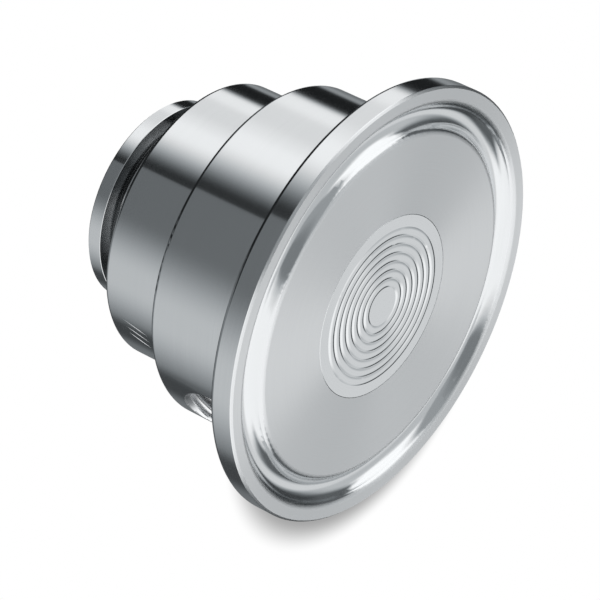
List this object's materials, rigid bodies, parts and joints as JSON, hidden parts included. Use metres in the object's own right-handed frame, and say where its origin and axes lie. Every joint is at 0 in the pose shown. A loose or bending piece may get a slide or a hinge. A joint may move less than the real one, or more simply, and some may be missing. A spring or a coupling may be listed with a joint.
{
  "type": "gauge diaphragm seal",
  "caption": "Stainless diaphragm seal with a sanitary clamp flange, corrugated flush diaphragm, stepped round body, side port and rear gauge port.",
  "frame": {"origin": "centre of the rear lip's flat face, on which the seal stands", "axes": "+Z along the seal's axis, out of the process face; -Y out of the side port"},
  "size_m": [0.0505, 0.0504, 0.032],
  "materials": {
    "turned_steel": "fine turned, bright",
    "diaphragm_foil": "satin pressed foil",
    "screw_steel": "plain machined",
    "seal_rubber": "matt",
    "gasket_ptfe": "matt white"
  },
  "bodies": {
    "root": {"clamp_flange": "turned_steel", "instrument_body": "turned_steel", "diaphragm": "diaphragm_foil", "diaphragm_bed": "turned_steel", "ring_seal": "seal_rubber", "restrictor_screw": "screw_steel", "port_gasket": "gasket_ptfe", "filling_ball": "screw_steel", "filling_screw": "screw_steel"}
  },
  "joints": []
}
